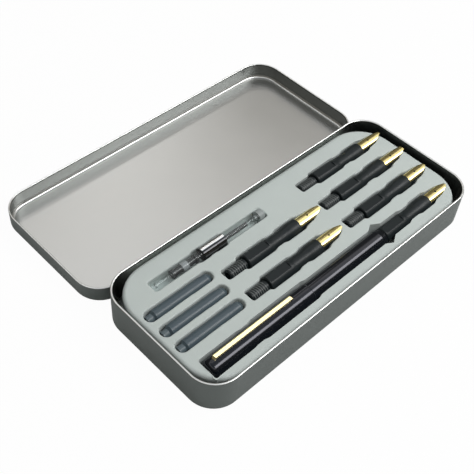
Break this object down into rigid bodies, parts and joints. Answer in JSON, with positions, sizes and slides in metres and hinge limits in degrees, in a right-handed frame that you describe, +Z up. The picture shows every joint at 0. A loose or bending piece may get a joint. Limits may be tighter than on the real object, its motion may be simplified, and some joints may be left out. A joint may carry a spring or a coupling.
{
  "type": "calligraphy set box",
  "caption": "Hinged sheet-metal box with a formed tray holding a fountain pen, spare nib units, a screw converter and ink cartridges.",
  "frame": {"origin": "middle of the base tin's underside, on the surface it lies on", "axes": "+X along the box towards the nib tips, +Y towards the hinge and the open lid, +Z up"},
  "size_m": [0.1874, 0.1573, 0.0201],
  "materials": {
    "tin": "satin grey paint, bright at the rolled rim",
    "tray_sheet": "pale grey flocked or matt formed sheet",
    "hinge_strip": "plain",
    "pin_wire": "plain",
    "pen_gloss": "polished black",
    "liner_plastic": "natural",
    "gold": "polished gold plate",
    "clear_plastic": "clear",
    "bright_metal": "polished",
    "grey_plastic": "plain",
    "black_plastic": "satin black",
    "ball": "plain",
    "ink_bottle": "dark ink behind clear plastic"
  },
  "bodies": {
    "base": {"base_tin": "tin", "tray": "tray_sheet", "hinge_leaf_left": "hinge_strip", "hinge_leaf_right": "hinge_strip", "hinge_pin_left": "pin_wire", "hinge_pin_right": "pin_wire"},
    "lid": {"lid_tin": "tin"},
    "pen": {"pen_barrel": "pen_gloss", "pen_cap": "pen_gloss", "pen_cap_liner": "liner_plastic", "pen_clip": "gold", "pen_section": "black_plastic", "pen_feed": "black_plastic", "pen_nib": "gold"},
    "nib_unit_a": {"nib_unit_a_section": "black_plastic", "nib_unit_a_feed": "black_plastic", "nib_unit_a_nib": "gold"},
    "nib_unit_b": {"nib_unit_b_section": "black_plastic", "nib_unit_b_feed": "black_plastic", "nib_unit_b_nib": "gold"},
    "nib_unit_c": {"nib_unit_c_section": "black_plastic", "nib_unit_c_feed": "black_plastic", "nib_unit_c_nib": "gold"},
    "nib_unit_d": {"nib_unit_d_section": "black_plastic", "nib_unit_d_feed": "black_plastic", "nib_unit_d_nib": "gold"},
    "nib_unit_e": {"nib_unit_e_section": "black_plastic", "nib_unit_e_feed": "black_plastic", "nib_unit_e_nib": "gold"},
    "converter": {"converter_reservoir": "clear_plastic", "converter_collar": "bright_metal"},
    "converter_turning": {"converter_knob": "clear_plastic", "converter_end_plug": "grey_plastic"},
    "converter_plunger": {"converter_piston": "black_plastic", "converter_rod": "black_plastic"},
    "cartridge_1": {"cartridge_1": "ink_bottle", "cartridge_ball_1": "ball"},
    "cartridge_2": {"cartridge_2": "ink_bottle", "cartridge_ball_2": "ball"},
    "cartridge_3": {"cartridge_3": "ink_bottle", "cartridge_ball_3": "ball"}
  },
  "joints": [
    {"name": "lid_hinge", "type": "hinge", "parent": "base", "child": "lid", "pos_m": [0, 0.0395, 0.01035], "axis": [-1, 0, 0], "range_deg": [-180, 0]},
    {"name": "pen_lift", "type": "slide", "parent": "base", "child": "pen", "axis": [0, 0, 1], "range_m": [0, 0.03]},
    {"name": "nib_unit_a_lift", "type": "slide", "parent": "base", "child": "nib_unit_a", "axis": [0, 0, 1], "range_m": [0, 0.03]},
    {"name": "nib_unit_b_lift", "type": "slide", "parent": "base", "child": "nib_unit_b", "axis": [0, 0, 1], "range_m": [0, 0.03]},
    {"name": "nib_unit_c_lift", "type": "slide", "parent": "base", "child": "nib_unit_c", "axis": [0, 0, 1], "range_m": [0, 0.03]},
    {"name": "nib_unit_d_lift", "type": "slide", "parent": "base", "child": "nib_unit_d", "axis": [0, 0, 1], "range_m": [0, 0.03]},
    {"name": "nib_unit_e_lift", "type": "slide", "parent": "base", "child": "nib_unit_e", "axis": [0, 0, 1], "range_m": [0, 0.03]},
    {"name": "converter_lift", "type": "slide", "parent": "base", "child": "converter", "axis": [0, 0, 1], "range_m": [0, 0.03]},
    {"name": "converter_knob_turn", "type": "hinge", "parent": "converter", "child": "converter_turning", "pos_m": [-0.02, 0.0237, 0.0156], "axis": [1, 0, 0], "range_deg": [-730, 100]},
    {"name": "converter_plunger_slide", "type": "slide", "parent": "converter", "child": "converter_plunger", "axis": [1, 0, 0], "range_m": [-0.008, 0.001]},
    {"name": "cartridge_1_lift", "type": "slide", "parent": "base", "child": "cartridge_1", "axis": [0, 0, 1], "range_m": [0, 0.03]},
    {"name": "cartridge_2_lift", "type": "slide", "parent": "base", "child": "cartridge_2", "axis": [0, 0, 1], "range_m": [0, 0.03]},
    {"name": "cartridge_3_lift", "type": "slide", "parent": "base", "child": "cartridge_3", "axis": [0, 0, 1], "range_m": [0, 0.03]}
  ],
  "couplings": [
    {"joint": "converter_knob_turn", "follows": "converter_plunger_slide", "rad_per_m": 1570.8}
  ]
}
